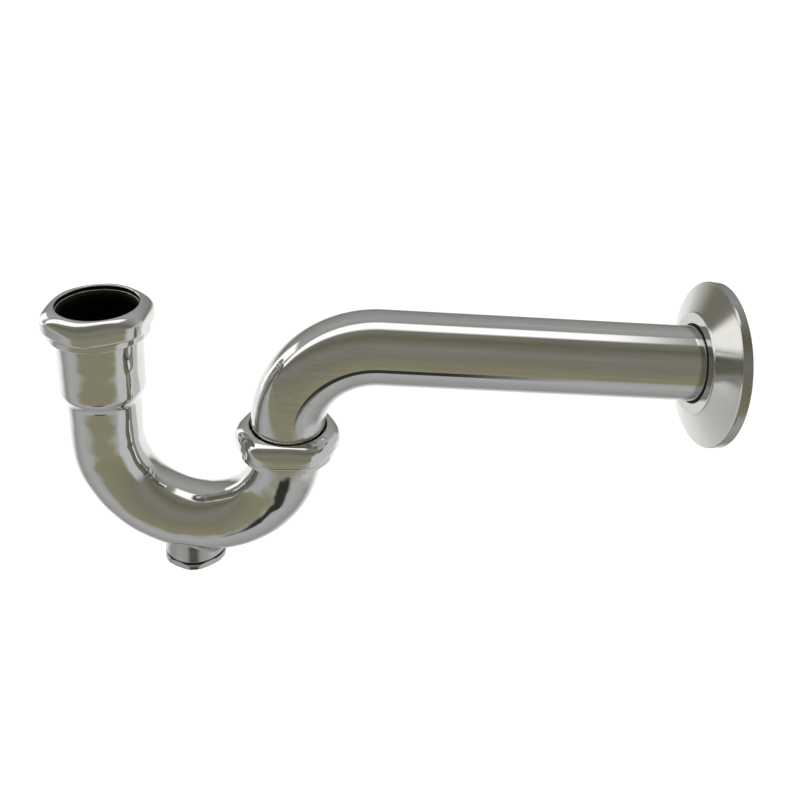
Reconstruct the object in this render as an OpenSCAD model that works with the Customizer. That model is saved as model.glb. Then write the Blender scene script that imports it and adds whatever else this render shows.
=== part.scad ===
// Chrome-plated cast-brass P trap for a 1-1/2 inch basin waste.
// Frame: origin at the centre of the inlet socket's mouth, +Z up the inlet,
// +X along the wall tube towards the wall. Millimetres.

/* [Trap body] */
// Centre distance between the inlet leg and the outlet leg
leg_pitch = 96; // [92:0.5:102]
// Angle of the trap body about the outlet axis, away from a straight line with the wall tube
trap_yaw = -5.75; // [-20:0.25:20]
// Outer radius of the cast tube
bend_r = 18.3; // [17.9:0.1:18.9]
// Wall thickness of the cast tube
bend_wall = 2.3; // [1.8:0.1:3]
// Outer radius of the inlet bell
bell_r = 21; // [20.9:0.05:21.2]
// Length of the inlet bell, from its mouth to the step
bell_len = 42.2; // [34:0.2:46]
// Depth of the inlet socket that holds the basin tailpiece
socket_depth = 38; // [20:1:40]
// Radius of both sockets, for a 38.1 mm tube
socket_r = 19.3; // [19.25:0.05:19.4]
// Height from the outlet mouth up to the inlet mouth
mouth_rise = 58.6; // [50:0.2:70]
// Height from the centre of the U bend up to the outlet mouth
bend_drop = 11; // [10.5:0.1:14]

/* [Slip nuts] */
// Width across the flats
nut_af = 51.4; // [50.4:0.1:51.8]
// Radius of the rounded corners
nut_corner_r = 27.2; // [26.6:0.1:27.6]
// Height of the hexagon
nut_hex_h = 12; // [10:0.5:14]
// Height of the round collar below the hexagon
nut_collar_h = 3.4; // [2.5:0.1:4]
// Radius of the round collar
nut_collar_r = 24.9; // [24:0.1:25.2]
// Radius of the hole in the lip
nut_hole_r = 19.7; // [19.6:0.05:19.9]
// Outer radius of the flat land round the hole
nut_land_r = 21.6; // [21.2:0.1:22.4]
// Height of the rounded shoulder between land and flats
nut_shoulder_h = 6.2; // [5:0.1:7]
// Turn of the inlet nut
inlet_nut_turn = 27; // [0:1:60]
// Turn of the outlet nut
outlet_nut_turn = 1; // [0:1:60]

/* [Wall tube] */
// Outer radius of the wall tube
tube_r = 19.05; // [19.0:0.01:19.08]
// Wall thickness of the tube
tube_wall = 1.3; // [1:0.1:1.6]
// Centre-line radius of its bend
tube_bend_r = 45; // [42:0.5:45]
// Height of the tube's long leg above the outlet nut's top
tube_rise = 46.6; // [46.5:0.1:50]
// Distance from the outlet axis to the wall
wall_reach = 213.5; // [150:0.5:300]

/* [Escutcheon] */
// Outer radius
flange_r = 41.8; // [38:0.1:46]
// Width of the upright rim band
flange_rim = 4.8; // [3:0.1:6]
// Depth from the wall to the flat face round the tube
flange_depth = 11.3; // [9:0.1:14]
// Outer radius of that flat face
hub_r = 25.4; // [24:0.1:27]
// Radius of the hole the tube passes through
flange_hole_r = 20.15; // [20:0.05:20.4]

/* [Cleanout] */
// Radius of the boss under the bend
boss_r = 16.8; // [16.4:0.1:17]
// How far the boss stands below the cast tube
boss_h = 1.4; // [1:0.1:3]
// How far the boss sits off the middle of the bend, towards the inlet
boss_shift = 1.8; // [0:0.1:3]
// Radius of the cleanout plug's shank
plug_r = 11.9; // [11:0.1:12.2]
// Width across the flats of the plug's head
plug_af = 32.7; // [32:0.1:33]
// Radius of the head's rounded corners
plug_corner_r = 17.45; // [17.1:0.05:17.8]
// Height of the plug's head
plug_head_h = 5.8; // [5:0.1:7]
// Turn of the plug
plug_turn = 42; // [0:1:60]

/* [Hidden] */
$fn = 96;

lip_h = 2.6;                  // nut lip, top face to underside
ring_h = 0.8;                 // friction ring
washer_h = 3.05;              // slip washer
gap = 0.05;                   // air between stacked faces
stack = lip_h + ring_h + washer_h + 3 * gap;  // nut top down to the mouth it sits on
nut_h = nut_hex_h + nut_collar_h;
nut_bore_r = 22.4;
thread_r = 22.3;              // crest of the male thread
thread_root = 21.35;
thread_pitch = 2.209;         // 11-1/2 threads per inch
ridges = 3;
bore_r = bend_r - bend_wall;
plug_pitch = 1.814;           // 14 threads per inch
plug_bore_r = plug_r + 0.08;
plug_len = 6;

// places an outlet-centred shape: outlet mouth plane at z = 0, wall along +X
ox = leg_pitch * cos(trap_yaw);
oy = leg_pitch * sin(trap_yaw);
module at_outlet() { translate([ox, oy, -mouth_rise]) children(); }
// trap-body frame: inlet axis at the origin, outlet axis on +x after the yaw
module in_body() { rotate([0, 0, trap_yaw]) children(); }

bend_z = -mouth_rise - bend_drop;   // centre of the U bend

module ring_section(ro, ri) { difference() { circle(ro); circle(ri); } }

// half torus hanging below z = bend_z, legs at x = 0 and x = leg_pitch
module u_bend(r) {
    translate([leg_pitch / 2, 0, bend_z]) rotate([90, 0, 0]) translate([0, 0, 0])
        rotate([0, 0, 180]) rotate_extrude(angle = 180, $fn = 128) translate([leg_pitch / 2, 0]) circle(r, $fn = 64);
}

// turned end with a male thread, mouth at z = 0, seen in half section
module threaded_end(neck_r0, foot) {
    rotate_extrude($fn = 128) polygon(concat(
        [[0, 0], [thread_root - 0.5, 0], [thread_root, -0.5]],
        [for (i = [0 : ridges - 1]) each [
            [thread_root, -0.6 - i * thread_pitch],
            [thread_r, -0.6 - (i + 0.35) * thread_pitch],
            [thread_r, -0.6 - (i + 0.6) * thread_pitch],
            [thread_root, -0.6 - (i + 0.95) * thread_pitch]]],
        foot, [[0, foot[len(foot) - 1][1]]]));
}

module trap_body() color([0.78, 0.78, 0.76]) in_body() difference() {
    union() {
        u_bend(bend_r);
        // inlet leg and bell
        translate([0, 0, bend_z]) cylinder(r = bend_r, h = -bend_z - bell_len + 1);
        threaded_end(thread_root, [[thread_root, -7.6], [bell_r, -8], [bell_r, -bell_len], [bend_r + 0.3, -bell_len - 1.6], [bend_r, -bell_len - 1.9]]);
        // outlet leg and its threaded end
        translate([leg_pitch, 0, bend_z]) cylinder(r = bend_r, h = 4);
        translate([leg_pitch, 0, -mouth_rise]) threaded_end(thread_root, [[thread_root, -7], [thread_root, -7.2], [bend_r, -9.4], [bend_r, -9.8]]);
        // cleanout boss
        translate([leg_pitch / 2 - boss_shift, 0, bend_z - leg_pitch / 2 - bend_r - boss_h]) cylinder(r = boss_r, h = boss_h + 12.4);
    }
    // waterway
    u_bend(bore_r);
    translate([0, 0, bend_z]) cylinder(r = bore_r, h = -bend_z - socket_depth + 1);
    translate([leg_pitch, 0, bend_z]) cylinder(r = bore_r, h = 8);
    // sockets
    translate([0, 0, -socket_depth]) cylinder(r = socket_r, h = socket_depth + 1);
    translate([leg_pitch, 0, -mouth_rise - 6.2]) cylinder(r = socket_r, h = 8);
    // threaded port of the cleanout
    translate([leg_pitch / 2 - boss_shift, 0, bend_z - leg_pitch / 2 - bend_r - boss_h - 1]) cylinder(r = plug_bore_r, h = 14);
}

// hexagon with rounded corners, a round shoulder on top and a round collar below.
// Top face at z = 0.
module slip_nut() {
    ap = nut_af / 2;
    s = nut_shoulder_h;
    d = nut_corner_r - nut_land_r;
    difference() {
        union() {
            intersection() {
                translate([0, 0, -nut_hex_h]) cylinder(r = ap / cos(30), h = nut_hex_h, $fn = 6);
                rotate_extrude($fn = 128) polygon([[0, 0], [nut_land_r, 0], [nut_land_r + d * 0.38, -s * 0.14],
                    [nut_land_r + d * 0.71, -s * 0.4], [nut_land_r + d * 0.92, -s * 0.72], [nut_corner_r, -s],
                    [nut_corner_r, -nut_hex_h + 1.2], [nut_corner_r - 1.2, -nut_hex_h], [0, -nut_hex_h]]);
            }
            translate([0, 0, -nut_h]) cylinder(r = nut_collar_r, h = nut_collar_h + 0.8);
        }
        translate([0, 0, -nut_h - 1]) cylinder(r = nut_hole_r, h = nut_h + 2);
        translate([0, 0, -nut_h - 1]) cylinder(r = nut_bore_r, h = nut_h + 1 - lip_h);
        // eased edge of the hole
        rotate_extrude($fn = 128) polygon([[nut_hole_r - 1, 1], [nut_hole_r + 0.7, 1], [nut_hole_r + 0.7, 0], [nut_hole_r - 0.3, -0.7], [nut_hole_r - 1, -0.7]]);
    }
}
module friction_ring() {
    translate([0, 0, -lip_h - gap - ring_h]) rotate_extrude($fn = 128) translate([nut_hole_r - 0.25, 0]) square([22.1 - nut_hole_r + 0.25, ring_h]);
}
module slip_washer() {
    translate([0, 0, -stack + gap]) rotate_extrude($fn = 128)
        polygon([[tube_r + 0.05, 0], [21.6, 0], [22, 0.4], [22, washer_h - 0.4], [21.6, washer_h], [tube_r + 0.05, washer_h]]);
}

module inlet_slip_nut() color([0.78, 0.78, 0.76]) translate([0, 0, stack]) rotate([0, 0, inlet_nut_turn]) slip_nut();
module inlet_friction_ring() color([0.8, 0.75, 0.55]) translate([0, 0, stack]) friction_ring();
module inlet_slip_washer() color([0.07, 0.07, 0.07]) translate([0, 0, stack]) slip_washer();
module outlet_slip_nut() color([0.78, 0.78, 0.76]) at_outlet() translate([0, 0, stack]) rotate([0, 0, outlet_nut_turn]) slip_nut();
module outlet_friction_ring() color([0.8, 0.75, 0.55]) at_outlet() translate([0, 0, stack]) friction_ring();
module outlet_slip_washer() color([0.07, 0.07, 0.07]) at_outlet() translate([0, 0, stack]) slip_washer();

// tube_z is the height of the long leg above the outlet mouth
tube_z = stack + tube_rise;
tube_foot = -5.9;
module tube_shape(r) {
    translate([0, 0, tube_foot]) cylinder(r = r, h = tube_z - tube_bend_r - tube_foot);
    translate([tube_bend_r, 0, tube_z - tube_bend_r]) rotate([90, 0, 0]) rotate([0, 0, 90])
        rotate_extrude(angle = 90, $fn = 128) translate([tube_bend_r, 0]) circle(r, $fn = 64);
    translate([tube_bend_r, 0, tube_z]) rotate([0, 90, 0]) cylinder(r = r, h = wall_reach - 0.5 - tube_bend_r);
}
module wall_tube() color([0.8, 0.8, 0.79]) at_outlet() difference() {
    tube_shape(tube_r);
    tube_shape(tube_r - tube_wall);
    translate([0, 0, tube_foot - 1]) cylinder(r = tube_r - tube_wall, h = 2);
    translate([wall_reach - 1, 0, tube_z]) rotate([0, 90, 0]) cylinder(r = tube_r - tube_wall, h = 2);
}

// x = 0 at the wall, flat face towards -x
grip_len = 3.6;
module escutcheon() color([0.8, 0.8, 0.79]) at_outlet() translate([wall_reach, 0, tube_z]) rotate([0, -90, 0])
    rotate_extrude($fn = 160) polygon([
        [flange_r - 2.2, 0], [flange_r - 0.3, 0], [flange_r, 0.3], [flange_r, flange_rim - 0.4], [flange_r - 0.5, flange_rim],
        [hub_r + 0.5, flange_depth - 0.35], [hub_r, flange_depth], [flange_hole_r + 0.4, flange_depth], [flange_hole_r, flange_depth - 0.4],
        [flange_hole_r, flange_depth - 0.6 - grip_len - 0.6], [flange_hole_r + 1.3, flange_depth - 0.6 - grip_len - 0.6],
        [flange_hole_r + 1.3, flange_depth - 1.6], [hub_r - 0.4, flange_depth - 1.6], [flange_r - 2.2, flange_rim - 1.4]]);
module escutcheon_grip_ring() color([0.07, 0.07, 0.07]) at_outlet() translate([wall_reach - flange_depth + 0.6, 0, tube_z]) rotate([0, 90, 0])
    rotate_extrude($fn = 128) translate([tube_r + 0.05, 0]) square([flange_hole_r - 0.05 - tube_r - 0.05, grip_len]);

boss_z = bend_z - leg_pitch / 2 - bend_r - boss_h;
module at_boss() { in_body() translate([leg_pitch / 2 - boss_shift, 0, boss_z]) children(); }
module cleanout_plug() color([0.76, 0.76, 0.74]) at_boss() {
    // threaded shank
    rotate_extrude($fn = 96) polygon(concat([[0, -1.4], [plug_r - 0.9, -1.4], [plug_r - 0.9, 0.1]],
        [for (i = [0 : 1]) each [
            [plug_r - 0.9, 0.2 + i * plug_pitch],
            [plug_r, 0.65 + i * plug_pitch],
            [plug_r, 0.95 + i * plug_pitch],
            [plug_r - 0.9, 1.4 + i * plug_pitch]]],
        [[plug_r - 0.9, plug_len - 1.8], [plug_r - 1.4, plug_len - 1.3], [0, plug_len - 1.3]]));
    rotate([0, 0, plug_turn]) translate([0, 0, -1.3 - plug_head_h]) intersection() {
        cylinder(r = plug_af / 2 / cos(30), h = plug_head_h, $fn = 6);
        rotate_extrude($fn = 96) polygon([[0, 0], [plug_corner_r - 5.3, 0], [plug_corner_r, 2.9], [plug_corner_r, plug_head_h], [0, plug_head_h]]);
    }
}
module cleanout_gasket() color([0.07, 0.07, 0.07]) at_boss() translate([0, 0, -1.25]) rotate_extrude($fn = 96)
    translate([plug_r + 0.08, 0]) square([boss_r - 0.7 - plug_r - 0.08, 1.2]);

trap_body();
inlet_slip_nut();
inlet_friction_ring();
inlet_slip_washer();
outlet_slip_nut();
outlet_friction_ring();
outlet_slip_washer();
wall_tube();
escutcheon();
escutcheon_grip_ring();
cleanout_plug();
cleanout_gasket();
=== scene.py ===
import bpy, bmesh, math
import numpy as np
from mathutils import Vector, Matrix, noise


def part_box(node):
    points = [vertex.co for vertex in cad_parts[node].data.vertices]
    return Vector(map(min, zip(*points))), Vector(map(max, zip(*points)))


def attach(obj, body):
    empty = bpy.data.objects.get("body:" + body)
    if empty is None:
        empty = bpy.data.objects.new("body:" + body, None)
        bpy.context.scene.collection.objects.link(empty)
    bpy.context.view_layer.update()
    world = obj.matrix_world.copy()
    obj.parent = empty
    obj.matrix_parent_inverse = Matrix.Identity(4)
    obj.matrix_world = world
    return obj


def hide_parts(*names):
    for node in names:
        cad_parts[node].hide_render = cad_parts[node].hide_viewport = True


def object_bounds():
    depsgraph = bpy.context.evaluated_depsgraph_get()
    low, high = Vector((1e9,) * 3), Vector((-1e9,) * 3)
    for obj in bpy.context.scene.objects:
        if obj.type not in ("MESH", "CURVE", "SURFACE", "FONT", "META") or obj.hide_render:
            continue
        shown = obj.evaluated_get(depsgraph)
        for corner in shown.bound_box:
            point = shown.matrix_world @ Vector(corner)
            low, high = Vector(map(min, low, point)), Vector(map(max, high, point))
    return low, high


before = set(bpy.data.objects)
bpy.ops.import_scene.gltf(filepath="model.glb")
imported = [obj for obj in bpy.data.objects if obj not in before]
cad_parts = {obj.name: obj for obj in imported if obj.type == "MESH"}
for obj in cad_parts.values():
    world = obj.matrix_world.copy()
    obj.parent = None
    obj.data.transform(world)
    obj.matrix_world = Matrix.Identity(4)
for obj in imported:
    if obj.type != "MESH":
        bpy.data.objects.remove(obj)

cad_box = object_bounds()
MM = 0.001

# ------------------------------------------------------------------ frame
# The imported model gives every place; radii and heights below are the part's own design sizes in mm.
def ctr(node):
    a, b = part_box(node)
    return (a + b) * 0.5

RUB_OUT = ctr("outlet_slip_washer") / MM
OX, OY = RUB_OUT.x, RUB_OUT.y                 # outlet axis
LEG = math.hypot(OX, OY)
YAW = math.atan2(OY, OX)
NUT_IN_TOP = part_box("inlet_slip_nut")[1].z / MM
NUT_OUT_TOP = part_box("outlet_slip_nut")[1].z / MM
STACK = NUT_IN_TOP                            # the inlet mouth is z = 0
MOUTH_OUT = NUT_OUT_TOP - STACK
BEND_R, BORE_R, SOCKET_R, BELL_R = 18.3, 16.0, 19.3, 21.0
BELL_LEN, SOCKET_D = 42.2, 38.0
BEND_Z = MOUTH_OUT - 11.0
TUBE_R, TUBE_RI, TUBE_BEND = 19.05, 17.75, 45.0
TUBE_Z = ctr("escutcheon").z / MM
WALL_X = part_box("escutcheon")[1].x / MM
TUBE_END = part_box("wall_tube")[1].x / MM
TUBE_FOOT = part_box("wall_tube")[0].z / MM
BOSS = ctr("cleanout_gasket") / MM
BOSS_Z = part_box("trap_body")[0].z / MM
PITCH = 2.209

# ------------------------------------------------------------------ mesh helpers
def lathe_frame(origin, axis, ref):
    """Unit vectors u, v across an axis, u nearest to ref."""
    a = Vector(axis).normalized()
    u = (Vector(ref) - a * Vector(ref).dot(a)).normalized()
    return Vector(origin), a, u, a.cross(u)

def mesh_from_grid(name, P, close_u=False, close_v=True, flip=False, smooth=True):
    """P is nu x nv x 3 in mm: a quad mesh over rows u and columns v."""
    nu, nv = P.shape[:2]
    me = bpy.data.meshes.new(name)
    verts = (P.reshape(-1, 3) * MM).tolist()
    faces = []
    for i in range(nu if close_u else nu - 1):
        i2 = (i + 1) % nu
        for j in range(nv if close_v else nv - 1):
            j2 = (j + 1) % nv
            q = (i * nv + j, i * nv + j2, i2 * nv + j2, i2 * nv + j)
            faces.append(q[::-1] if flip else q)
    me.from_pydata(verts, [], faces)
    me.validate()
    bm = bmesh.new(); bm.from_mesh(me)
    bmesh.ops.remove_doubles(bm, verts=bm.verts, dist=1e-7)
    bmesh.ops.recalc_face_normals(bm, faces=bm.faces)
    bm.to_mesh(me); bm.free()
    if smooth:
        me.polygons.foreach_set("use_smooth", [True] * len(me.polygons))
    ob = bpy.data.objects.new(name, me)
    bpy.context.collection.objects.link(ob)
    return ob

def arc(cx, cz, r, a0, a1, n):
    """Points on an arc in a (radius, height) profile; angles in degrees."""
    return [(cx + r * math.cos(math.radians(a0 + (a1 - a0) * i / n)),
             cz + r * math.sin(math.radians(a0 + (a1 - a0) * i / n))) for i in range(n + 1)]

def densify(prof, step):
    out = [prof[0]]
    for p, q in zip(prof[:-1], prof[1:]):
        d = math.hypot(q[0] - p[0], q[1] - p[1])
        n = max(1, int(math.ceil(d / step)))
        for k in range(1, n + 1):
            out.append((p[0] + (q[0] - p[0]) * k / n, p[1] + (q[1] - p[1]) * k / n))
    return out

def lathe(name, prof, origin, axis=(0, 0, 1), ref=(1, 0, 0), n=192, closed=True, rfun=None):
    """Turns a profile of (radius, height) points round an axis. rfun(r, z, theta) may change the radius."""
    o, a, u, v = lathe_frame(origin, axis, ref)
    th = np.linspace(0, 2 * np.pi, n, endpoint=False)
    R = np.array([p[0] for p in prof])[:, None] * np.ones(n)
    Z = np.array([p[1] for p in prof])[:, None] * np.ones(n)
    if rfun is not None:
        R = rfun(R, Z, th[None, :] * np.ones_like(R))
    c, s = np.cos(th), np.sin(th)
    o, a, u, v = (np.array(x) for x in (o, a, u, v))
    P = o + Z[..., None] * a + (R * c)[..., None] * u + (R * s)[..., None] * v
    return mesh_from_grid(name, P, close_u=closed)

def sweep(name, rings, n=160, closed=True, fun=None):
    """rings: list of (centre, side vector, in-plane vector, radius). Builds a tube skin through them.
    fun(points, normals, ring index array) may move the points along their normals."""
    th = np.linspace(0, 2 * np.pi, n, endpoint=False)
    C = np.array([r[0] for r in rings])[:, None, :]
    S = np.array([r[1] for r in rings])[:, None, :]
    U = np.array([r[2] for r in rings])[:, None, :]
    R = np.array([r[3] for r in rings])[:, None, None]
    N = np.cos(th)[None, :, None] * U + np.sin(th)[None, :, None] * S
    if fun is not None:
        off = fun(C + R * N, N, th)
        P = C + (R + off[..., None]) * N
    else:
        P = C + R * N
    return mesh_from_grid(name, P, close_u=closed)

def smin(a, b, k):
    h = np.clip(0.5 + 0.5 * (b - a) / k, 0, 1)
    return b + (a - b) * h - k * h * (1 - h)

def fbm(P, scale, seed, octaves=2):
    """Smooth noise at points P (mm), about -1 to 1."""
    out = np.empty(P.shape[:-1])
    flat = P.reshape(-1, 3) / scale + np.array([seed * 7.31, seed * 3.17, seed * 5.77])
    o = out.reshape(-1)
    for i, p in enumerate(flat):
        v = Vector(p)
        o[i] = noise.noise(v) + (0.45 * noise.noise(v * 2.1) if octaves > 1 else 0)
    return out

def thread(phase, crest=0.5):
    """Height 0..1 across one thread pitch: flanks and rounded crest."""
    f = np.abs((phase % 1.0) - 0.5) * 2
    return np.clip((crest + 0.25 - f) / 0.5, 0, 1)

def finish_piece(ob, body, node, mat):
    ob.data.materials.clear()
    ob.data.materials.append(mat)
    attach(ob, body)
    if node:
        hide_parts(node)
    return ob

# ------------------------------------------------------------------ materials
def new_mat(name):
    m = bpy.data.materials.new(name)
    m.use_nodes = True
    nt = m.node_tree
    for n in list(nt.nodes):
        nt.nodes.remove(n)
    out = nt.nodes.new("ShaderNodeOutputMaterial")
    b = nt.nodes.new("ShaderNodeBsdfPrincipled")
    nt.links.new(b.outputs["BSDF"], out.inputs["Surface"])
    return m, nt, b

def noise_node(nt, co, scale, detail=3.0, rough=0.55, stretch=None):
    if stretch is not None:
        mp = nt.nodes.new("ShaderNodeMapping")
        mp.inputs["Scale"].default_value = stretch
        nt.links.new(co, mp.inputs["Vector"])
        co = mp.outputs["Vector"]
    n = nt.nodes.new("ShaderNodeTexNoise")
    n.inputs["Scale"].default_value = scale
    n.inputs["Detail"].default_value = detail
    n.inputs["Roughness"].default_value = rough
    nt.links.new(co, n.inputs["Vector"])
    return n.outputs["Fac"]

def remap(nt, fac, lo, hi, to0, to1):
    r = nt.nodes.new("ShaderNodeMapRange")
    r.clamp = True
    r.inputs["From Min"].default_value = lo
    r.inputs["From Max"].default_value = hi
    r.inputs["To Min"].default_value = to0
    r.inputs["To Max"].default_value = to1
    nt.links.new(fac, r.inputs["Value"])
    return r.outputs["Result"]

def mix_col(nt, fac, a, b):
    m = nt.nodes.new("ShaderNodeMix")
    m.data_type = "RGBA"
    m.inputs["A"].default_value = (*a, 1)
    m.inputs["B"].default_value = (*b, 1)
    nt.links.new(fac, m.inputs["Factor"])
    return m.outputs["Result"]

def add(nt, a, b, op="ADD"):
    m = nt.nodes.new("ShaderNodeMath")
    m.operation = op
    nt.links.new(a, m.inputs[0])
    if isinstance(b, (int, float)):
        m.inputs[1].default_value = b
    else:
        nt.links.new(b, m.inputs[1])
    return m.outputs[0]

def bump(nt, height, bsdf, strength, dist):
    bp = nt.nodes.new("ShaderNodeBump")
    bp.inputs["Strength"].default_value = strength
    bp.inputs["Distance"].default_value = dist
    nt.links.new(height, bp.inputs["Height"])
    nt.links.new(bp.outputs["Normal"], bsdf.inputs["Normal"])

def chrome(name, base=(0.70, 0.70, 0.695), rough=(0.015, 0.05), haze=0.10, bump_mm=0.0, bump_scale=90.0, streak=None):
    """Plated metal: a polish that varies in soft patches, faint smudges, hairlines and the casting's ripple."""
    m, nt, b = new_mat(name)
    tc = nt.nodes.new("ShaderNodeTexCoord")
    co = tc.outputs["Object"]
    b.inputs["Metallic"].default_value = 1.0
    soft = noise_node(nt, co, 38.0, 3.0)
    fine = noise_node(nt, co, 900.0, 2.0, 0.7)
    smudge = noise_node(nt, co, 130.0, 4.0, 0.65)
    r = remap(nt, soft, 0.35, 0.72, rough[0], rough[1])
    sm = remap(nt, smudge, 0.60, 0.78, 0.0, haze * 0.35)
    fn = remap(nt, fine, 0.62, 0.80, 0.0, 0.02)
    r = add(nt, add(nt, r, sm), fn)
    nt.links.new(r, b.inputs["Roughness"])
    tint = tuple(c * f for c, f in zip(base, (0.955, 0.95, 0.935)))
    mask = remap(nt, smudge, 0.45, 0.75, 0.0, 1.0)
    if streak is not None:
        # faint lines left by drawing and buffing, along or round the piece
        lines = noise_node(nt, co, 520.0, 3.0, 0.6, stretch=streak)
        tint = tuple(c * f for c, f in zip(base, (0.88, 0.875, 0.85)))
        mask = add(nt, remap(nt, lines, 0.40, 0.68, 0.0, 0.8), add(nt, mask, 0.2, "MULTIPLY"))
    nt.links.new(mix_col(nt, mask, base, tint), b.inputs["Base Color"])
    if bump_mm > 0:
        h = noise_node(nt, co, bump_scale, 2.0, 0.45)
        bump(nt, h, b, 1.0, bump_mm * MM)
    return m

def rubber(name):
    m, nt, b = new_mat(name)
    tc = nt.nodes.new("ShaderNodeTexCoord")
    co = tc.outputs["Object"]
    g = noise_node(nt, co, 1600.0, 2.0)
    d = noise_node(nt, co, 160.0, 3.0)
    nt.links.new(mix_col(nt, remap(nt, d, 0.4, 0.75, 0.0, 1.0), (0.006, 0.006, 0.006), (0.016, 0.0155, 0.0145)), b.inputs["Base Color"])
    nt.links.new(remap(nt, g, 0.3, 0.7, 0.55, 0.78), b.inputs["Roughness"])
    bump(nt, g, b, 0.35, 0.03 * MM)
    return m

M_CAST = chrome("cast_chrome", rough=(0.03, 0.10), haze=0.16, bump_mm=0.30, bump_scale=62.0, base=(0.69, 0.69, 0.675))
M_BOSS = chrome("boss_chrome", base=(0.60, 0.60, 0.59), rough=(0.16, 0.26), haze=0.2, bump_mm=0.05)
# painted shade: a near-black metal for the inside of the waterway and the nut bores, standing in for the dark inside
M_BORE_PAINTED_SHADE = chrome("waterway_painted_shade", base=(0.022, 0.021, 0.020), rough=(0.50, 0.68), haze=0.2, bump_mm=0.08)
M_NUT = chrome("nut_chrome", rough=(0.015, 0.05), haze=0.10, bump_mm=0.02, bump_scale=150.0)
M_TUBE = chrome("tube_chrome", rough=(0.012, 0.045), haze=0.06, streak=(0.03, 1.0, 1.0))
M_FLANGE = chrome("flange_chrome", base=(0.54, 0.54, 0.52), rough=(0.10, 0.17), haze=0.14)
M_PLUG = chrome("plug_chrome", base=(0.60, 0.60, 0.59), rough=(0.12, 0.24), haze=0.22, bump_mm=0.04)
M_RING = chrome("ring_brass", base=(0.79, 0.75, 0.64), rough=(0.16, 0.30), haze=0.2)
M_RUBBER = rubber("black_rubber")

# ------------------------------------------------------------------ trap body
def rot_in_body(P):
    c, s = math.cos(YAW), math.sin(YAW)
    x, y = P[..., 0] * c - P[..., 1] * s, P[..., 0] * s + P[..., 1] * c
    return np.stack([x, y, P[..., 2]], -1)

def body_rings():
    """Rings down the outside of the casting, round the outlet mouth and back up the waterway."""
    R = []
    side = (0, 1, 0)
    def leg(x, prof):
        for r, z in prof:
            R.append(((x, 0, z), side, (1, 0, 0) if x == 0 else (-1, 0, 0), r))
    thr = 21.25
    # mouth, thread, bell and step of the inlet leg
    prof = [(SOCKET_R + 0.0, -0.45), (SOCKET_R + 0.45, -0.02), (20.4, 0.0), (20.75, -0.12), (21.1, -0.55)]
    prof += [(thr, z) for z in np.arange(-0.7, -7.4, -0.16)]
    prof += [(21.3, -7.6), (21.1, -8.1), (BELL_R, -8.6)]
    prof += densify([(BELL_R, -8.6), (BELL_R, -BELL_LEN + 2.6)], 1.0)[1:]
    for k in np.linspace(0, 1, 21)[1:]:
        f = k * k * (3 - 2 * k)
        prof.append((BELL_R + (BEND_R - BELL_R) * f, -BELL_LEN + 2.6 - 8.0 * k))
    prof += densify([(BEND_R, -BELL_LEN - 5.4), (BEND_R, BEND_Z)], 1.0)[1:]
    leg(0, prof)
    # outside of the U bend
    n = 150
    for i in range(1, n):
        a = math.pi * i / n
        R.append(((LEG / 2 - LEG / 2 * math.cos(a), 0, BEND_Z - LEG / 2 * math.sin(a)), side, (math.cos(a), 0, math.sin(a)), BEND_R))
    m = MOUTH_OUT
    prof = [(BEND_R, BEND_Z), (BEND_R, m - 9.6), (BEND_R + 0.25, m - 9.25), (thr - 0.5, m - 7.45), (thr, m - 7.1)]
    prof += [(thr, m + z) for z in np.arange(-6.9, -0.6, 0.16)]
    prof += [(21.1, m - 0.5), (20.75, m - 0.12), (20.4, m), (SOCKET_R + 0.45, m), (SOCKET_R, m - 0.45)]
    prof += [(SOCKET_R, m - 3), (SOCKET_R, m - 6.0), (SOCKET_R - 0.2, m - 6.2), (BORE_R + 0.3, m - 6.25), (BORE_R, m - 6.6), (BORE_R, BEND_Z + 2), (BORE_R, BEND_Z)]
    leg(LEG, prof)
    n = 60
    for i in range(n - 1, 0, -1):
        a = math.pi * i / n
        R.append(((LEG / 2 - LEG / 2 * math.cos(a), 0, BEND_Z - LEG / 2 * math.sin(a)), side, (math.cos(a), 0, math.sin(a)), BORE_R))
    prof = densify([(BORE_R, BEND_Z), (BORE_R, -SOCKET_D - 0.4)], 4.0) + [(BORE_R + 0.3, -SOCKET_D), (SOCKET_R - 0.3, -SOCKET_D), (SOCKET_R, -SOCKET_D + 0.3)]
    prof += densify([(SOCKET_R, -SOCKET_D + 0.3), (SOCKET_R, -1.0)], 4.0)[1:]
    leg(0, prof)
    return R

RINGS = body_rings()
n_th = 176
C = np.array([r[0] for r in RINGS]); S = np.array([r[1] for r in RINGS]); U = np.array([r[2] for r in RINGS]); RR = np.array([r[3] for r in RINGS])
th = np.linspace(0, 2 * np.pi, n_th, endpoint=False)
# the in-plane vector turns over between the legs, so the angle runs the same way all along the path
N = np.cos(th)[None, :, None] * U[:, None, :] + np.sin(th)[None, :, None] * S[:, None, :]
P = C[:, None, :] + RR[:, None, None] * N
outer = (RR > 18.0) & (np.array([(c[2] < -8.2) and not (abs(c[0] - LEG) < 1e-6 and c[2] > MOUTH_OUT - 9.4) for c in C]))
ripple = np.zeros(P.shape[:2])
idx = np.where(outer & (RR >= BEND_R - 0.01))[0]
# a hand-polished casting is never quite true: soft waves, kept at or under the drawn size
ripple[idx] = 0.20 * fbm(P[idx], 16.0, 3) + 0.045 * fbm(P[idx], 7.0, 8, 1) - 0.06
ripple = np.minimum(ripple, 0.06)
step = np.where((np.abs(C[:, 0]) < 1e-6) & outer & (C[:, 2] < -BELL_LEN + 2.6) & (C[:, 2] > -BELL_LEN - 5.4) & (RR > BEND_R + 0.01) & (RR < BELL_R - 0.01))[0]
lean = np.sin(np.clip((BELL_R - RR[step]) / (BELL_R - BEND_R), 0, 1) * np.pi)
ripple[step] += 0.75 * lean[:, None] * fbm(P[step], 13.0, 21, 1)
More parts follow.
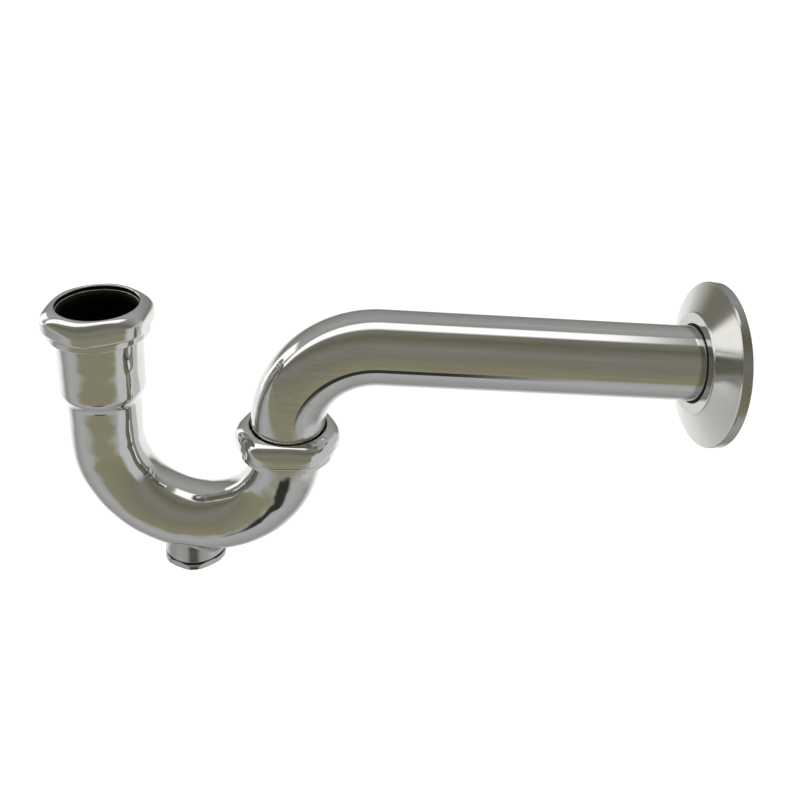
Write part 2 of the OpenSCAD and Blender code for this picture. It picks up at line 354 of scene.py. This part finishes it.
# male threads, one helix on each mouth
phase_in = (th[None, :] / (2 * np.pi)) + C[:, 2][:, None] / PITCH
tz_in = (np.abs(C[:, 0]) < 1e-6) & (C[:, 2] < -0.65) & (C[:, 2] > -7.4) & (np.abs(RR - 21.25) < 1e-6)
fade = np.clip((C[:, 2] + 7.4) / 1.2, 0, 1) * np.clip((-0.5 - C[:, 2]) / 0.8, 0, 1)
ripple[tz_in] = (1.03 * thread(phase_in) * fade[:, None])[tz_in]
phase_out = (-th[None, :] / (2 * np.pi)) + (C[:, 2][:, None] - MOUTH_OUT) / PITCH
tz_out = (np.abs(C[:, 0] - LEG) < 1e-6) & (np.abs(RR - 21.25) < 1e-6) & (C[:, 2] > MOUTH_OUT - 7.0)
fade = np.clip((C[:, 2] - MOUTH_OUT + 7.0) / 1.2, 0, 1) * np.clip((MOUTH_OUT - 0.5 - C[:, 2]) / 0.8, 0, 1)
ripple[tz_out] = (1.03 * thread(phase_out) * fade[:, None])[tz_out]
P = P + ripple[..., None] * N
body = mesh_from_grid("trap_body_casting", rot_in_body(P), close_u=True)

# the cleanout port goes right through the wall under the boss
BR, PORT_R = 16.8, 11.98
cut = lathe("port_cut", [(0.001, BOSS_Z - 2), (PORT_R, BOSS_Z - 2), (PORT_R, BOSS_Z + 13), (0.001, BOSS_Z + 13)], (BOSS.x, BOSS.y, 0), n=96, closed=False)
bm = bmesh.new(); bm.from_mesh(cut.data)
bmesh.ops.holes_fill(bm, edges=[e for e in bm.edges if e.is_boundary], sides=0)
bmesh.ops.recalc_face_normals(bm, faces=bm.faces)
bm.to_mesh(cut.data); bm.free()
md = body.modifiers.new("port", "BOOLEAN"); md.operation = "DIFFERENCE"; md.object = cut; md.solver = "EXACT"
dg = bpy.context.evaluated_depsgraph_get()
me = bpy.data.meshes.new_from_object(body.evaluated_get(dg))
body.modifiers.clear(); old = body.data; body.data = me; bpy.data.meshes.remove(old)
bpy.data.objects.remove(cut)
body.data.name = "trap_body_casting"
finish_piece(body, "trap", "trap_body", M_CAST)
# painted shade: from the mouths inward the waterway takes a near-black metal, standing in for the dark inside of the
# bore
def mark_bore_painted_shade(ob):
    me = ob.data
    me.materials.append(M_BORE_PAINTED_SHADE)
    n = len(me.polygons)
    q = np.empty(n * 3); me.polygons.foreach_get("center", q); q = q.reshape(-1, 3) / MM
    c, s = math.cos(-YAW), math.sin(-YAW)
    x, y, z = q[:, 0] * c - q[:, 1] * s, q[:, 0] * s + q[:, 1] * c, q[:, 2]
    rin, rout = np.hypot(x, y), np.hypot(x - LEG, y)
    rb = np.hypot(np.hypot(x - LEG / 2, z - BEND_Z) - LEG / 2, y)
    m = ((z > BEND_Z) & (((rin < SOCKET_R + 0.6) & (z < 0.5)) | (rout < SOCKET_R + 0.3))) & ~((z < -SOCKET_D) & (rin > 17.5) & (rin < SOCKET_R + 0.6) & (rout > 30))
    m |= (z <= BEND_Z) & (rb < BEND_R - 0.9)
    idx = np.zeros(n, dtype=np.int32); idx[m] = 1
    me.polygons.foreach_set("material_index", idx)
mark_bore_painted_shade(body)

# boss under the bend: turned end, straight side and a soft cast fillet into the tube
def boss_mesh():
    n = 176
    t = np.linspace(0, 2 * np.pi, n, endpoint=False)
    c, s = np.cos(t), np.sin(t)
    off = LEG / 2 - math.hypot(BOSS.x, BOSS.y)
    rows = []
    def row(r, z):
        rows.append(np.stack([r * c, r * s, np.full(n, z) if np.isscalar(z) else z], -1))
    def under(r):
        """Height of the bend's underside at radius r round the boss axis, and the skin's own side limit."""
        x, y = r * c - off, r * s
        y = np.clip(y, -BEND_R + 0.25, BEND_R - 0.25)
        d = np.sqrt(BEND_R ** 2 - y ** 2)
        return BEND_Z - np.sqrt((LEG / 2 + d) ** 2 - x ** 2)
    for z in (9.0, 4.0, 0.5):
        row(PORT_R, BOSS_Z + z)
    row(PORT_R + 0.3, BOSS_Z + 0.03); row(PORT_R + 0.6, BOSS_Z)
    row(BR - 1.4, BOSS_Z); row(BR - 0.45, BOSS_Z)
    for r, z in arc(BR - 0.45, BOSS_Z + 0.45, 0.45, -75, 0, 6):
        row(r, z)
    # the side blends into the casting: the radius opens out where the bend's skin comes down to meet it
    w = 1.9
    u = under(BR)
    z0 = np.maximum(u - w, BOSS_Z + 0.7)
    for k in np.linspace(0.12, 1.0, 8):
        row(BR, BOSS_Z + 0.45 + (z0 - BOSS_Z - 0.45) * k)
    for k in np.linspace(0, 1, 12)[1:]:
        a = k * math.pi / 2
        grow = w * (1 - math.cos(a)) * np.clip(1.15 - (np.abs(s) ** 6), 0.0, 1)
        r = BR + grow
        x, y = r * c - off, r * s
        yy = np.clip(y, -BEND_R + 0.25, BEND_R - 0.25)
        d = np.sqrt(BEND_R ** 2 - yy ** 2)
        zz = BEND_Z - np.sqrt((LEG / 2 + d) ** 2 - x ** 2)
        z = np.maximum(zz - w * (1 - math.sin(a)), z0) + 0.05 * k
        rows.append(np.stack([r * c, r * s, z], -1))
    row(BR - 1.0, under(BR - 1.0) + 1.5)
    row(PORT_R + 1.2, BOSS_Z + 9.5)
    P = np.array(rows)
    P = rot_in_body(P) + np.array([BOSS.x, BOSS.y, 0])
    return mesh_from_grid("cleanout_boss", P, close_u=True)
boss = finish_piece(boss_mesh(), "trap", None, M_BOSS)

# ------------------------------------------------------------------ slip nuts
AP, RC = 25.7, 27.2
def nut(name, top, cx, cy, turn):
    """Hexagon with soft corners, turned shoulder, round collar, threaded inside."""
    hole, bore = 19.7, 22.42
    prof = [(hole, -2.6), (hole, -1.7)]
    prof += arc(hole + 0.85, -0.9, 0.85, 180, 100, 8)
    dome_r, dome_h = 20.55, 6.6
    prof += [(dome_r + (RC - dome_r) * math.sin(math.radians(t)) ** 1.12, -dome_h * (1 - math.cos(math.radians(t))) ** 0.86) for t in range(4, 91, 4)]
    prof += [(RC, -dome_h - 0.45 * i) for i in range(1, 9)]
    prof += [(27.1, -10.75), (26.85, -11.1), (26.45, -11.42), (26.0, -11.66), (25.5, -11.82)]
    n_hex = len(prof)
    prof += [(24.89, -11.97), (24.9, -12.2), (24.9, -13.0), (24.9, -14.0), (24.9, -14.7)]
    prof += arc(24.3, -14.8, 0.6, 0, -90, 6)
    prof += [(23.8, -15.4), (23.3, -15.3), (bore + 0.35, -14.9)]
    k0 = len(prof)
    prof += [(bore + 0.35, z) for z in np.arange(-14.7, -3.6, 0.2)]
    k1 = len(prof)
    prof += [(bore + 0.1, -3.3), (bore, -2.75), (bore - 0.1, -2.62), (21.0, -2.6)]
    idx = np.arange(len(prof))
    def rfun(R, Z, T):
        ph = np.mod(T - math.radians(turn + 30) + math.pi / 6, math.pi / 3) - math.pi / 6
        H = AP / np.cos(ph)
        H = smin(H, np.full_like(H, RC - 0.05), 2.2)
        out = R.copy()
        hx = (idx >= 11) & (idx < n_hex)
        # the dome runs from the hole's edge down into soft, nearly round flats
        soft = H
        m = dome_r + (R - dome_r) * (soft - dome_r) / (RC - dome_r)
        m = np.maximum(m, np.minimum(R, dome_r))
        low = (Z < -11.0) & (idx[:, None] < n_hex)
        m = np.where(low, np.maximum(m, 24.55), m)
        out[hx] = m[hx]
        zone = (idx >= k0) & (idx < k1)
        f = thread(T / (2 * np.pi) + Z / PITCH + 0.5)
        fadez = np.clip((Z + 14.6) / 1.0, 0, 1)
        cutr = bore + 0.02 + 0.75 * (1 - f) * fadez + 0.35 * (1 - fadez)
        out[zone] = cutr[zone]
        return out
    return lathe(name, prof, (cx, cy, top), n=288, rfun=rfun)

def mark_inside_painted_shade(ob, cx, cy, r, z_max):
    """Gives the faces inside radius r and below z_max the near-black metal: painted shade for the dark inside of the
    nut.
    """
    me = ob.data
    me.materials.append(M_BORE_PAINTED_SHADE)
    n = len(me.polygons)
    q = np.empty(n * 3); me.polygons.foreach_get("center", q); q = q.reshape(-1, 3) / MM
    m = (np.hypot(q[:, 0] - cx, q[:, 1] - cy) < r) & (q[:, 2] < z_max)
    idx = np.zeros(n, dtype=np.int32); idx[m] = 1
    me.polygons.foreach_set("material_index", idx)

TURN_IN, TURN_OUT = 27.0, 1.0
mark_inside_painted_shade(finish_piece(nut("slip_nut_inlet", NUT_IN_TOP, 0, 0, TURN_IN), "inlet_nut", "inlet_slip_nut", M_NUT), 0, 0, 19.95, NUT_IN_TOP - 0.6)
mark_inside_painted_shade(finish_piece(nut("slip_nut_outlet", NUT_OUT_TOP, OX, OY, TURN_OUT), "outlet_nut", "outlet_slip_nut", M_NUT), OX, OY, 19.95, NUT_OUT_TOP - 0.6)

# ------------------------------------------------------------------ rings and washers
def ring_stack(where, node, body_name, cx, cy):
    a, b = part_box(node)
    z0, z1 = a.z / MM, b.z / MM
    if "friction" in node:
        ri, ro = 19.45, 22.1
        e = 0.12
        prof = [(ri + 0.45, z0 + e), (ri + 0.45 + e, z0), (ro - e, z0), (ro, z0 + e), (ro, z1 - e), (ro - e, z1), (ri + 0.3, z1), (ri + 0.08, z1 - 0.1), (ri, z1 - 0.3)]
        ob = lathe(where + "_friction_ring", prof, (cx, cy, 0), n=192)
        return finish_piece(ob, body_name, node, M_RING)
    ri, ro = 19.1, 22.0
    prof = [(ri, z0 + 0.25), (ri + 0.25, z0)] + [(ro - 0.5, z0), (ro - 0.15, z0 + 0.15), (ro, z0 + 0.5), (ro, z1 - 0.5), (ro - 0.15, z1 - 0.15), (ro - 0.5, z1), (ri + 0.35, z1), (ri + 0.1, z1 - 0.1), (ri, z1 - 0.35), (ri, (z0 + z1) / 2)]
    ob = lathe(where + "_slip_washer", prof, (cx, cy, 0), n=192)
    return finish_piece(ob, body_name, node, M_RUBBER)
ring_stack("inlet", "inlet_friction_ring", "inlet_ring", 0, 0)
ring_stack("inlet", "inlet_slip_washer", "trap", 0, 0)
ring_stack("outlet", "outlet_friction_ring", "outlet_ring", OX, OY)
ring_stack("outlet", "outlet_slip_washer", "tube_seal", OX, OY)

# ------------------------------------------------------------------ wall tube
def tube_rings():
    R = []
    side = (0, 1, 0)
    zb = TUBE_Z - TUBE_BEND
    def lower(r, z):
        R.append(((OX, OY, z), side, (-1, 0, 0), r))
    def upper(r, x):
        R.append(((x, OY, TUBE_Z), side, (0, 0, 1), r))
    for r, z in [(TUBE_RI + 0.25, TUBE_FOOT), (TUBE_R - 0.35, TUBE_FOOT), (TUBE_R - 0.08, TUBE_FOOT + 0.12), (TUBE_R, TUBE_FOOT + 0.45)]:
        lower(r, z)
    for z in np.arange(TUBE_FOOT + 1.5, zb, 1.5):
        lower(TUBE_R, z)
    n = 72
    for i in range(n + 1):
        a = math.pi / 2 * i / n
        R.append(((OX + TUBE_BEND - TUBE_BEND * math.cos(a), OY, zb + TUBE_BEND * math.sin(a)), side, (-math.cos(a), 0, math.sin(a)), TUBE_R))
    for x in np.linspace(OX + TUBE_BEND, TUBE_END - 0.4, 80)[1:]:
        upper(TUBE_R, x)
    for r, x in [(TUBE_R - 0.08, TUBE_END - 0.1), (TUBE_R - 0.3, TUBE_END), (TUBE_RI + 0.25, TUBE_END), (TUBE_RI, TUBE_END - 0.25)]:
        upper(r, x)
    for x in np.linspace(TUBE_END - 1.5, OX + TUBE_BEND, 30):
        upper(TUBE_RI, x)
    n = 36
    for i in range(n, -1, -1):
        a = math.pi / 2 * i / n
        R.append(((OX + TUBE_BEND - TUBE_BEND * math.cos(a), OY, zb + TUBE_BEND * math.sin(a)), side, (-math.cos(a), 0, math.sin(a)), TUBE_RI))
    for z in (zb - 4, zb - 9, TUBE_FOOT + 0.3):
        lower(TUBE_RI, z)
    return R
tube = sweep("wall_tube_skin", tube_rings(), n=160)
finish_piece(tube, "wall_tube", "wall_tube", M_TUBE)

# ------------------------------------------------------------------ escutcheon
FR, RIM, FD, HUB, FH = 41.8, 4.8, 11.3, 25.4, 20.15
def flange():
    prof = [(FR - 2.0, 0.05), (FR - 1.9, 0.0), (FR - 0.35, 0.0), (FR - 0.1, 0.1), (FR, 0.4)]
    prof += densify([(FR, 0.4), (FR, RIM - 0.75)], 0.8)[1:]
    prof += [(FR - 0.06, RIM - 0.45), (FR - 0.2, RIM - 0.22), (FR - 0.42, RIM - 0.07), (FR - 0.7, RIM)]
    # the cone, then the flat face round the tube with a crisp turned edge between them
    r0, z0, r1, z1 = FR - 0.7, RIM, HUB + 0.7, FD - 0.42
    for k in np.linspace(0, 1, 26)[1:]:
        prof.append((r0 + (r1 - r0) * k, z0 + (z1 - z0) * k))
    prof += [(HUB + 0.4, FD - 0.24), (HUB + 0.15, FD - 0.09), (HUB - 0.15, FD - 0.01), (HUB - 0.5, FD)]
    prof += densify([(HUB - 0.5, FD), (FH + 0.55, FD)], 0.8)[1:]
    prof += [(FH + 0.25, FD - 0.06), (FH + 0.07, FD - 0.2), (FH, FD - 0.45)]
    prof += densify([(FH, FD - 0.45), (FH, FD - 4.8)], 1.5)[1:] + [(FH + 1.3, FD - 4.8), (FH + 1.3, FD - 1.6), (HUB - 0.4, FD - 1.6)]
    for k in np.linspace(0, 1, 12)[1:]:
        prof.append((HUB - 0.4 + (FR - 2.2 - HUB + 0.4) * k, FD - 1.6 + (RIM - 1.4 - FD + 1.6) * k))
    prof += [(FR - 2.05, RIM - 2.0), (FR - 2.0, 1.5)]
    return lathe("wall_flange", prof, (WALL_X, OY, TUBE_Z), axis=(-1, 0, 0), ref=(0, 0, 1), n=256)
finish_piece(flange(), "flange", "escutcheon", M_FLANGE)
a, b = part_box("escutcheon_grip_ring")
x0, x1 = a.x / MM, b.x / MM
prof = [(19.1, x0 + 0.3), (19.35, x0), (19.85, x0), (20.07, x0 + 0.25), (20.1, x0 + 0.6), (20.1, x1 - 0.3), (19.85, x1), (19.35, x1), (19.1, x1 - 0.3), (19.1, (x0 + x1) / 2)]
finish_piece(lathe("grip_ring", [(r, x) for r, x in prof], (0, OY, TUBE_Z), axis=(1, 0, 0), ref=(0, 0, 1), n=160), "flange_grip", "escutcheon_grip_ring", M_RUBBER)

# ------------------------------------------------------------------ cleanout plug and gasket
ga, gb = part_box("cleanout_gasket")
g0, g1 = ga.z / MM, gb.z / MM
prof = [(11.98, g0 + 0.2), (12.2, g0), (15.8, g0), (16.05, g0 + 0.25), (16.1, (g0 + g1) / 2), (16.05, g1 - 0.25), (15.8, g1), (12.2, g1), (11.98, g1 - 0.2)]
finish_piece(lathe("gasket", prof, (BOSS.x, BOSS.y, 0), n=160), "plug_gasket", "cleanout_gasket", M_RUBBER)
pa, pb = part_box("cleanout_plug")
p0, p1 = pa.z / MM, pb.z / MM
def plug():
    head_top = BOSS_Z - 1.3
    ap, rc, sh = 16.35, 17.4, 11.9
    prof = [(0.02, p0), (6.0, p0), (11.0, p0), (11.8, p0 + 0.02), (12.4, p0 + 0.12)]
    nh0 = 3
    prof += densify([(12.4, p0 + 0.12), (rc, p0 + 2.85)], 0.45)[1:]
    prof += [(rc + 0.03, p0 + 3.0)] + [(rc + 0.03, z) for z in np.linspace(p0 + 3.3, head_top - 0.6, 5)]
    prof += [(rc - 0.1, head_top - 0.28), (rc - 0.4, head_top - 0.06), (rc - 0.8, head_top)]
    nh1 = len(prof)
    prof += [(14.2, head_top), (sh - 0.5, head_top), (sh - 0.87, head_top + 0.3)]
    k0 = len(prof)
    prof += [(sh - 0.9, z) for z in np.arange(BOSS_Z + 0.1, p1 - 0.6, 0.16)]
    k1 = len(prof)
    prof += [(sh - 1.0, p1 - 0.4), (sh - 1.3, p1 - 0.05), (sh - 1.6, p1), (4.0, p1), (0.02, p1)]
    idx = np.arange(len(prof))
    def rfun(R, Z, T):
        ph = np.mod(T - math.radians(PLUG_TURN + 30) + math.pi / 6, math.pi / 3) - math.pi / 6
        H = smin(ap / np.cos(ph), np.full_like(R, rc), 0.25)
        out = R.copy()
        m = (idx >= nh0) & (idx < nh1)
        out[m] = smin(R, H, 0.3)[m]
        z = (idx >= k0) & (idx < k1)
        f = thread(-T / (2 * np.pi) + Z / 1.814)
        fd = np.clip((Z - BOSS_Z - 0.1) / 0.8, 0, 1) * np.clip((p1 - 0.6 - Z) / 0.8, 0, 1)
        out[z] = (sh - 0.9 + 0.88 * f * fd)[z]
        return out
    return lathe("cleanout_plug_head", prof, (BOSS.x, BOSS.y, 0), n=192, closed=False, rfun=rfun)
PLUG_TURN = 42.0 - 5.75
finish_piece(plug(), "plug", "cleanout_plug", M_PLUG)

# ------------------------------------------------------------------ floor and light
floor_z = cad_box[0].z - 0.045 if hasattr(cad_box[0], "z") else cad_box[0][2] - 0.045
bpy.ops.mesh.primitive_plane_add(size=30, location=(0.1, 0, floor_z))
floor = bpy.context.object; floor.name = "studio_floor"
m, nt, b = new_mat("studio_floor")
b.inputs["Base Color"].default_value = (0.9, 0.9, 0.9, 1)
b.inputs["Roughness"].default_value = 0.9
b.inputs["Emission Color"].default_value = (1, 1, 1, 1)
b.inputs["Emission Strength"].default_value = 0.75
floor.data.materials.append(m)
floor.visible_glossy = False

# Plain soft studio light: a pale table, dim warm-grey surroundings, a long overhead softbox,
# a softbox at the left, a fill card at the right and a painted shadow low in front: a dark band for the shadow along
# the table's front edge, for contrast on the chrome.
def studio_world():
    w = bpy.data.worlds.new("studio"); bpy.context.scene.world = w
    w.use_nodes = True
    nt = w.node_tree
    for n in list(nt.nodes):
        nt.nodes.remove(n)
    out = nt.nodes.new("ShaderNodeOutputWorld")
    tc = nt.nodes.new("ShaderNodeTexCoord")
    sp = nt.nodes.new("ShaderNodeSeparateXYZ")
    nt.links.new(tc.outputs["Generated"], sp.inputs["Vector"])
    dx, dy, dz = sp.outputs["X"], sp.outputs["Y"], sp.outputs["Z"]
    def m(op, a, b=None):
        n = nt.nodes.new("ShaderNodeMath"); n.operation = op
        for i, v in enumerate((a, b)):
            if v is None:
                continue
            if isinstance(v, (int, float)):
                n.inputs[i].default_value = v
            else:
                nt.links.new(v, n.inputs[i])
        return n.outputs[0]
    def ss(v, lo, hi):
        r = nt.nodes.new("ShaderNodeMapRange"); r.interpolation_type = "SMOOTHSTEP"
        r.inputs["From Min"].default_value = lo; r.inputs["From Max"].default_value = hi
        nt.links.new(v, r.inputs["Value"])
        return r.outputs["Result"]
    def band(v, lo0, lo1, hi0, hi1):
        return m("MULTIPLY", ss(v, lo0, lo1), m("SUBTRACT", 1.0, ss(v, hi0, hi1)))
    def ramp(v, lo, hi, stops):
        r = nt.nodes.new("ShaderNodeMapRange")
        r.inputs["From Min"].default_value = lo; r.inputs["From Max"].default_value = hi
        nt.links.new(v, r.inputs["Value"])
        c = nt.nodes.new("ShaderNodeValToRGB")
        el = c.color_ramp.elements
        while len(el) > 1:
            el.remove(el[-1])
        for i, (ang, col) in enumerate(stops):
            col = (col, col, col) if isinstance(col, (int, float)) else col
            e = el[0] if i == 0 else el.new((ang - lo) / (hi - lo))
            e.position = (ang - lo) / (hi - lo)
            e.color = (*(x / 2.0 for x in col), 1)
        nt.links.new(r.outputs["Result"], c.inputs["Fac"])
        return c.outputs["Color"]
    def mix(f, a, b):
        n = nt.nodes.new("ShaderNodeMix"); n.data_type = "RGBA"
        for k, v in (("Factor", f), ("A", a), ("B", b)):
            if isinstance(v, tuple):
                n.inputs[k].default_value = (*(x / 2.0 for x in v), 1)
            else:
                nt.links.new(v, n.inputs[k])
        return n.outputs["Result"]
    ang = m("MULTIPLY", m("ARCTAN2", dz, m("MULTIPLY", dy, -1.0)), 180 / math.pi)
    dim = (0.25, 0.24, 0.18)
    # painted shadow: the dip near -100 on the pale table below is the part's own shadow on the table beneath it
    below = ramp(ang, -180, 0, [(-180, dim), (-165, 1.1), (-130, 1.1), (-100, 0.36), (-60, 0.52), (-46, 0.48), (-38, (0.32, 0.305, 0.205)), (0, dim)])
    above = ramp(ang, 0, 180, [(0, dim), (30, (0.27, 0.265, 0.235)), (60, (0.18, 0.17, 0.12)), (80, (0.25, 0.245, 0.21)), (125, 0.46), (165, 0.32), (180, dim)])
    col = mix(m("GREATER_THAN", dz, 0.0), below, above)
    # overhead softbox
    strip = m("MULTIPLY", band(ang, 80, 88, 104, 110), m("SUBTRACT", 1.0, ss(dx, 0.30, 0.44)))
    col = mix(strip, col, (1.5, 1.5, 1.5))
    # painted shadow: a dark band low in front, standing in for the shadow along the table's front edge
    table_edge_shadow = m("MULTIPLY", band(ang, -54, -51, -42, -39), band(dx, -0.30, -0.16, 0.12, 0.30))
    col = mix(table_edge_shadow, col, (0.04, 0.04, 0.035))
    # softbox at the left
    nx = m("MAXIMUM", m("MULTIPLY", dx, -1.0), 0.001)
    left = m("MULTIPLY", band(m("DIVIDE", dy, nx), 0.15, 0.28, 0.66, 0.80), band(m("DIVIDE", dz, nx), -0.36, -0.26, 0.40, 0.52))
    col = mix(left, col, (1.5, 1.48, 1.45))
    # fill card at the right
    px = m("MAXIMUM", dx, 0.001)
    fill = m("MULTIPLY", band(m("DIVIDE", dy, px), -0.9, -0.6, 0.6, 0.9), band(m("DIVIDE", dz, px), -1.3, -1.0, 0.1, 0.5))
    col = mix(fill, col, (0.66, 0.67, 0.67))
    bg = nt.nodes.new("ShaderNodeBackground"); bg.inputs["Strength"].default_value = 2.0
    nt.links.new(col, bg.inputs["Color"])
    plain = nt.nodes.new("ShaderNodeBackground"); plain.inputs["Color"].default_value = (1, 1, 1, 1); plain.inputs["Strength"].default_value = 1.0
    lp = nt.nodes.new("ShaderNodeLightPath")
    sel = nt.nodes.new("ShaderNodeMixShader")
    nt.links.new(lp.outputs["Is Camera Ray"], sel.inputs["Fac"])
    nt.links.new(bg.outputs["Background"], sel.inputs[1])
    nt.links.new(plain.outputs["Background"], sel.inputs[2])
    nt.links.new(sel.outputs["Shader"], out.inputs["Surface"])
studio_world()

# ------------------------------------------------------------------ camera
def make_camera():
    az, el, ro = math.radians(3.53), math.radians(22.56), math.radians(4.65)
    fwd = Vector((math.sin(az) * math.cos(el), math.cos(az) * math.cos(el), -math.sin(el)))
    right = Vector((math.cos(az), -math.sin(az), 0))
    up = right.cross(fwd)
    c, s = math.cos(ro), math.sin(ro)
    r2, u2 = right * c + up * s, up * c - right * s
    tgt = Vector((OX + 50.43, OY, NUT_OUT_TOP + 97.63)) * MM
    pos = tgt - fwd * (372.43 * MM)
    cam = bpy.data.cameras.new("camera")
    cam.sensor_width = 36.0
    cam.lens = 789.93 * 36.0 / 800.0
    cam.shift_x = 0.0
    cam.shift_y = (253.22 - 400.0) / 800.0
    cam.clip_start = 0.01
    cam.clip_end = 100.0
    ob = bpy.data.objects.new("camera", cam)
    ob.matrix_world = Matrix((( r2.x, u2.x, -fwd.x, pos.x), (r2.y, u2.y, -fwd.y, pos.y), (r2.z, u2.z, -fwd.z, pos.z), (0, 0, 0, 1)))
    bpy.context.collection.objects.link(ob)
    bpy.context.scene.camera = ob
make_camera()
bpy.context.scene.view_settings.view_transform = "Standard"
bpy.context.scene.view_settings.look = "None"
